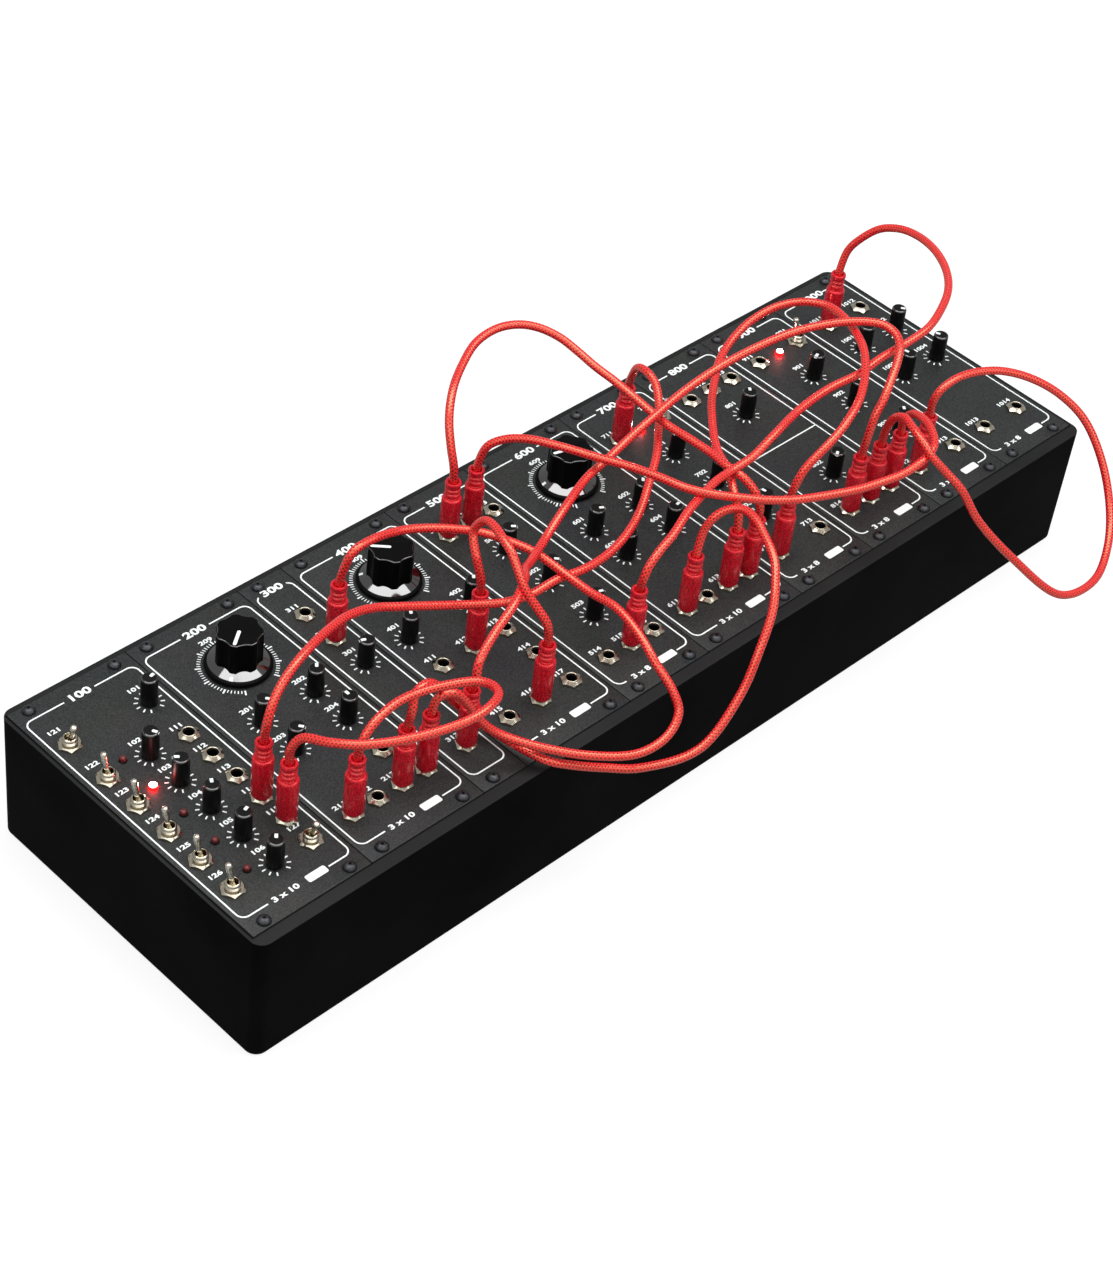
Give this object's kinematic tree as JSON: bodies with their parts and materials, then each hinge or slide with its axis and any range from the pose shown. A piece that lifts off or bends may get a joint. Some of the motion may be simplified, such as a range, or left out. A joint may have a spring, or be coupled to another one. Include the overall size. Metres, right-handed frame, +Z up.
{
  "type": "modular synthesizer",
  "caption": "Tabletop modular synthesizer: a shallow case with a row of control panels, turning knobs, tilting toggles, jacks and red patch leads.",
  "frame": {"origin": "middle of the case's underside, on the surface that it stands on", "axes": "+X to the right along the row of panels, +Y to the rear edge of the panels, +Z up"},
  "size_m": [0.43, 0.1897, 0.1213],
  "materials": {
    "case_paint": "fine textured black powder coat",
    "panel_paint": "matte charcoal with white print",
    "rail_metal": "plain extruded",
    "board": "green solder mask",
    "knob": "satin black with a white pointer",
    "lever": "bright nickel",
    "lead": "red braid and satin crimson moulded plugs"
  },
  "bodies": {
    "synthesizer": {"case_tub": "case_paint", "rail_front": "rail_metal", "rail_rear": "rail_metal", "circuit_boards": "board", "sequencer_panel": "panel_paint", "oscillator_panel": "panel_paint", "wavefolder_panel": "panel_paint", "sample_hold_panel": "panel_paint", "mixer_panel": "panel_paint", "filter_panel": "panel_paint", "envelope_1_panel": "panel_paint", "amplifier_panel": "panel_paint", "envelope_2_panel": "panel_paint", "output_panel": "panel_paint", "patch_leads_left": "lead", "patch_leads_right": "lead"},
    "rate_control": {"rate_knob": "knob"},
    "step_1_control": {"step_1_knob": "knob"},
    "step_2_control": {"step_2_knob": "knob"},
    "step_3_control": {"step_3_knob": "knob"},
    "step_4_control": {"step_4_knob": "knob"},
    "step_5_control": {"step_5_knob": "knob"},
    "step_count_lever": {"step_count_toggle": "lever"},
    "gate_1_lever": {"gate_1_toggle": "lever"},
    "gate_2_lever": {"gate_2_toggle": "lever"},
    "gate_3_lever": {"gate_3_toggle": "lever"},
    "gate_4_lever": {"gate_4_toggle": "lever"},
    "gate_5_lever": {"gate_5_toggle": "lever"},
    "cv_range_lever": {"cv_range_toggle": "lever"},
    "fine_control": {"fine_knob": "knob"},
    "pulse_width_control": {"pulse_width_knob": "knob"},
    "fm_level_control": {"fm_level_knob": "knob"},
    "pulse_mod_control": {"pulse_mod_knob": "knob"},
    "coarse_control": {"coarse_knob": "knob"},
    "fold_control": {"fold_knob": "knob"},
    "sample_level_control": {"sample_level_knob": "knob"},
    "slew_control": {"slew_knob": "knob"},
    "sample_rate_control": {"sample_rate_knob": "knob"},
    "mix_1_control": {"mix_1_knob": "knob"},
    "mix_2_control": {"mix_2_knob": "knob"},
    "mix_3_control": {"mix_3_knob": "knob"},
    "filter_input_control": {"filter_input_knob": "knob"},
    "resonance_control": {"resonance_knob": "knob"},
    "filter_fm_control": {"filter_fm_knob": "knob"},
    "filter_cv_control": {"filter_cv_knob": "knob"},
    "cutoff_control": {"cutoff_knob": "knob"},
    "attack_1_control": {"attack_1_knob": "knob"},
    "decay_1_control": {"decay_1_knob": "knob"},
    "sustain_1_control": {"sustain_1_knob": "knob"},
    "loop_1_lever": {"loop_1_toggle": "lever"},
    "offset_1_control": {"offset_1_knob": "knob"},
    "offset_2_control": {"offset_2_knob": "knob"},
    "attack_2_control": {"attack_2_knob": "knob"},
    "decay_2_control": {"decay_2_knob": "knob"},
    "sustain_2_control": {"sustain_2_knob": "knob"},
    "loop_2_lever": {"loop_2_toggle": "lever"},
    "level_left_control": {"level_left_knob": "knob"},
    "level_right_control": {"level_right_knob": "knob"},
    "pan_left_control": {"pan_left_knob": "knob"},
    "pan_right_control": {"pan_right_knob": "knob"}
  },
  "joints": [
    {"name": "rate_turn", "type": "hinge", "parent": "synthesizer", "child": "rate_control", "pos_m": [-0.17175, 0.04087, 0.0594], "axis": [0, 0, 1], "range_deg": [-76, 224]},
    {"name": "step_1_turn", "type": "hinge", "parent": "synthesizer", "child": "step_1_control", "pos_m": [-0.18745, 0.02083, 0.0594], "axis": [0, 0, 1], "range_deg": [0, 300]},
    {"name": "step_2_turn", "type": "hinge", "parent": "synthesizer", "child": "step_2_control", "pos_m": [-0.18745, 0.00489, 0.0594], "axis": [0, 0, 1], "range_deg": [-201, 99]},
    {"name": "step_3_turn", "type": "hinge", "parent": "synthesizer", "child": "step_3_control", "pos_m": [-0.18745, -0.01104, 0.0594], "axis": [0, 0, 1], "range_deg": [-118, 182]},
    {"name": "step_4_turn", "type": "hinge", "parent": "synthesizer", "child": "step_4_control", "pos_m": [-0.18745, -0.0271, 0.0594], "axis": [0, 0, 1], "range_deg": [-80, 220]},
    {"name": "step_5_turn", "type": "hinge", "parent": "synthesizer", "child": "step_5_control", "pos_m": [-0.18745, -0.04316, 0.0594], "axis": [0, 0, 1], "range_deg": [-108, 192]},
    {"name": "step_count_tilt", "type": "hinge", "parent": "synthesizer", "child": "step_count_lever", "pos_m": [-0.20533, 0.04126, 0.0566], "axis": [1, 0, 0], "range_deg": [-30, 0]},
    {"name": "gate_1_tilt", "type": "hinge", "parent": "synthesizer", "child": "gate_1_lever", "pos_m": [-0.20533, 0.02083, 0.0566], "axis": [1, 0, 0], "range_deg": [0, 30]},
    {"name": "gate_2_tilt", "type": "hinge", "parent": "synthesizer", "child": "gate_2_lever", "pos_m": [-0.20533, 0.00489, 0.0566], "axis": [1, 0, 0], "range_deg": [0, 30]},
    {"name": "gate_3_tilt", "type": "hinge", "parent": "synthesizer", "child": "gate_3_lever", "pos_m": [-0.20533, -0.01104, 0.0566], "axis": [1, 0, 0], "range_deg": [0, 30]},
    {"name": "gate_4_tilt", "type": "hinge", "parent": "synthesizer", "child": "gate_4_lever", "pos_m": [-0.20533, -0.0271, 0.0566], "axis": [1, 0, 0], "range_deg": [0, 30]},
    {"name": "gate_5_tilt", "type": "hinge", "parent": "synthesizer", "child": "gate_5_lever", "pos_m": [-0.20533, -0.04316, 0.0566], "axis": [1, 0, 0], "range_deg": [0, 30]},
    {"name": "cv_range_tilt", "type": "hinge", "parent": "synthesizer", "child": "cv_range_lever", "pos_m": [-0.17165, -0.04278, 0.0566], "axis": [1, 0, 0], "range_deg": [-30, 0]},
    {"name": "fine_turn", "type": "hinge", "parent": "synthesizer", "child": "fine_control", "pos_m": [-0.14803, 0.00914, 0.0594], "axis": [0, 0, 1], "range_deg": [-8, 292]},
    {"name": "pulse_width_turn", "type": "hinge", "parent": "synthesizer", "child": "pulse_width_control", "pos_m": [-0.12426, 0.00914, 0.0594], "axis": [0, 0, 1], "range_deg": [-109, 191]},
    {"name": "fm_level_turn", "type": "hinge", "parent": "synthesizer", "child": "fm_level_control", "pos_m": [-0.14803, -0.00796, 0.0594], "axis": [0, 0, 1], "range_deg": [-9, 291]},
    {"name": "pulse_mod_turn", "type": "hinge", "parent": "synthesizer", "child": "pulse_mod_control", "pos_m": [-0.12426, -0.00796, 0.0594], "axis": [0, 0, 1], "range_deg": [-150, 150]},
    {"name": "coarse_turn", "type": "hinge", "parent": "synthesizer", "child": "coarse_control", "pos_m": [-0.13614, 0.03612, 0.0594], "axis": [0, 0, 1], "range_deg": [-276, 24]},
    {"name": "fold_turn", "type": "hinge", "parent": "synthesizer", "child": "fold_control", "pos_m": [-0.10079, 0.00914, 0.0594], "axis": [0, 0, 1], "range_deg": [-216, 84]},
    {"name": "sample_level_turn", "type": "hinge", "parent": "synthesizer", "child": "sample_level_control", "pos_m": [-0.08026, 0.00888, 0.0594], "axis": [0, 0, 1], "range_deg": [-114, 186]},
    {"name": "slew_turn", "type": "hinge", "parent": "synthesizer", "child": "slew_control", "pos_m": [-0.04983, 0.00888, 0.0594], "axis": [0, 0, 1], "range_deg": [-110, 190]},
    {"name": "sample_rate_turn", "type": "hinge", "parent": "synthesizer", "child": "sample_rate_control", "pos_m": [-0.06518, 0.03612, 0.0594], "axis": [0, 0, 1], "range_deg": [-197, 103]},
    {"name": "mix_1_turn", "type": "hinge", "parent": "synthesizer", "child": "mix_1_control", "pos_m": [-0.01926, 0.02199, 0.0594], "axis": [0, 0, 1], "range_deg": [-22, 278]},
    {"name": "mix_2_turn", "type": "hinge", "parent": "synthesizer", "child": "mix_2_control", "pos_m": [-0.01926, -0.00063, 0.0594], "axis": [0, 0, 1], "range_deg": [-15, 285]},
    {"name": "mix_3_turn", "type": "hinge", "parent": "synthesizer", "child": "mix_3_control", "pos_m": [-0.01926, -0.02363, 0.0594], "axis": [0, 0, 1], "range_deg": [-43, 257]},
    {"name": "filter_input_turn", "type": "hinge", "parent": "synthesizer", "child": "filter_input_control", "pos_m": [0.01407, 0.00926, 0.0594], "axis": [0, 0, 1], "range_deg": [-29, 271]},
    {"name": "resonance_turn", "type": "hinge", "parent": "synthesizer", "child": "resonance_control", "pos_m": [0.03846, 0.00926, 0.0594], "axis": [0, 0, 1], "range_deg": [-105, 195]},
    {"name": "filter_fm_turn", "type": "hinge", "parent": "synthesizer", "child": "filter_fm_control", "pos_m": [0.01407, -0.00783, 0.0594], "axis": [0, 0, 1], "range_deg": [-71, 229]},
    {"name": "filter_cv_turn", "type": "hinge", "parent": "synthesizer", "child": "filter_cv_control", "pos_m": [0.03846, -0.00783, 0.0594], "axis": [0, 0, 1], "range_deg": [-71, 229]},
    {"name": "cutoff_turn", "type": "hinge", "parent": "synthesizer", "child": "cutoff_control", "pos_m": [0.02621, 0.03612, 0.0594], "axis": [0, 0, 1], "range_deg": [-225, 75]},
    {"name": "attack_1_turn", "type": "hinge", "parent": "synthesizer", "child": "attack_1_control", "pos_m": [0.07185, 0.02199, 0.0594], "axis": [0, 0, 1], "range_deg": [-235, 65]},
    {"name": "decay_1_turn", "type": "hinge", "parent": "synthesizer", "child": "decay_1_control", "pos_m": [0.07185, 0.00001, 0.0594], "axis": [0, 0, 1], "range_deg": [-105, 195]},
    {"name": "sustain_1_turn", "type": "hinge", "parent": "synthesizer", "child": "sustain_1_control", "pos_m": [0.07185, -0.02376, 0.0594], "axis": [0, 0, 1], "range_deg": [-158, 142]},
    {"name": "loop_1_tilt", "type": "hinge", "parent": "synthesizer", "child": "loop_1_lever", "pos_m": [0.08372, 0.0419, 0.0566], "axis": [1, 0, 0], "range_deg": [-30, 0]},
    {"name": "offset_1_turn", "type": "hinge", "parent": "synthesizer", "child": "offset_1_control", "pos_m": [0.11253, 0.02199, 0.0594], "axis": [0, 0, 1], "range_deg": [-113, 187]},
    {"name": "offset_2_turn", "type": "hinge", "parent": "synthesizer", "child": "offset_2_control", "pos_m": [0.11253, -0.02402, 0.0594], "axis": [0, 0, 1], "range_deg": [-272, 28]},
    {"name": "attack_2_turn", "type": "hinge", "parent": "synthesizer", "child": "attack_2_control", "pos_m": [0.15309, 0.02199, 0.0594], "axis": [0, 0, 1], "range_deg": [-257, 43]},
    {"name": "decay_2_turn", "type": "hinge", "parent": "synthesizer", "child": "decay_2_control", "pos_m": [0.15309, 0.00001, 0.0594], "axis": [0, 0, 1], "range_deg": [-101, 199]},
    {"name": "sustain_2_turn", "type": "hinge", "parent": "synthesizer", "child": "sustain_2_control", "pos_m": [0.15309, -0.02363, 0.0594], "axis": [0, 0, 1], "range_deg": [-111, 189]},
    {"name": "loop_2_tilt", "type": "hinge", "parent": "synthesizer", "child": "loop_2_lever", "pos_m": [0.165, 0.0419, 0.0566], "axis": [1, 0, 0], "range_deg": [0, 30]},
    {"name": "level_left_turn", "type": "hinge", "parent": "synthesizer", "child": "level_left_control", "pos_m": [0.18381, 0.02199, 0.0594], "axis": [0, 0, 1], "range_deg": [-101, 199]},
    {"name": "level_right_turn", "type": "hinge", "parent": "synthesizer", "child": "level_right_control", "pos_m": [0.20385, 0.02199, 0.0594], "axis": [0, 0, 1], "range_deg": [-9, 291]},
    {"name": "pan_left_turn", "type": "hinge", "parent": "synthesizer", "child": "pan_left_control", "pos_m": [0.18381, -0.0005, 0.0594], "axis": [0, 0, 1], "range_deg": [-163, 137]},
    {"name": "pan_right_turn", "type": "hinge", "parent": "synthesizer", "child": "pan_right_control", "pos_m": [0.20385, -0.0005, 0.0594], "axis": [0, 0, 1], "range_deg": [-175, 125]}
  ]
}
